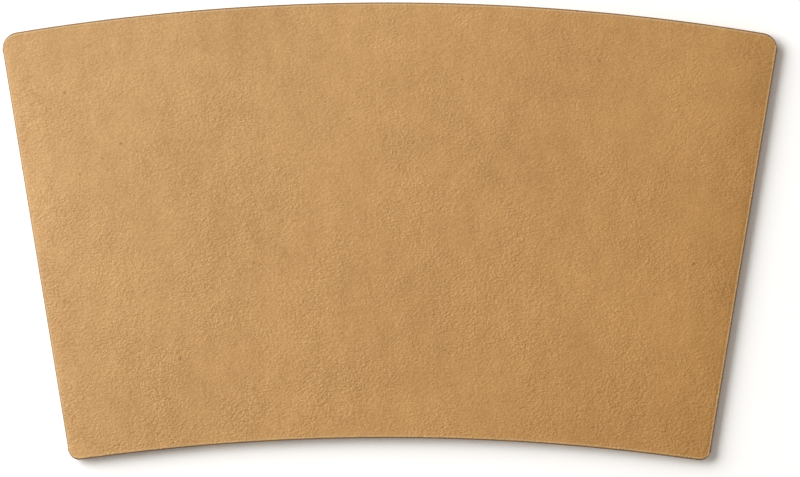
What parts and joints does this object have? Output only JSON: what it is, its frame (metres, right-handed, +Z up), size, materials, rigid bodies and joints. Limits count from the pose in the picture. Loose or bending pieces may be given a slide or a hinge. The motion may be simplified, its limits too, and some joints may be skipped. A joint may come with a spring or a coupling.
{
  "type": "coffee cup sleeve",
  "caption": "Kraft board sleeve for a paper hot cup: a glued tapered band folded flat, with curved wide and narrow edges.",
  "frame": {"origin": "middle of the sleeve's box in plan, at the surface that the back panel rests on", "axes": "+Z up from the back panel to the front panel, +Y from the narrow edge toward the wide edge, +X across from the left fold to the right fold as the front is seen"},
  "size_m": [0.13, 0.0768, 0.0025],
  "materials": {
    "kraft_board": "unbleached, uncoated and matt, with paler fibres at the cut edges"
  },
  "bodies": {
    "root": {"sleeve": "kraft_board"}
  },
  "joints": []
}
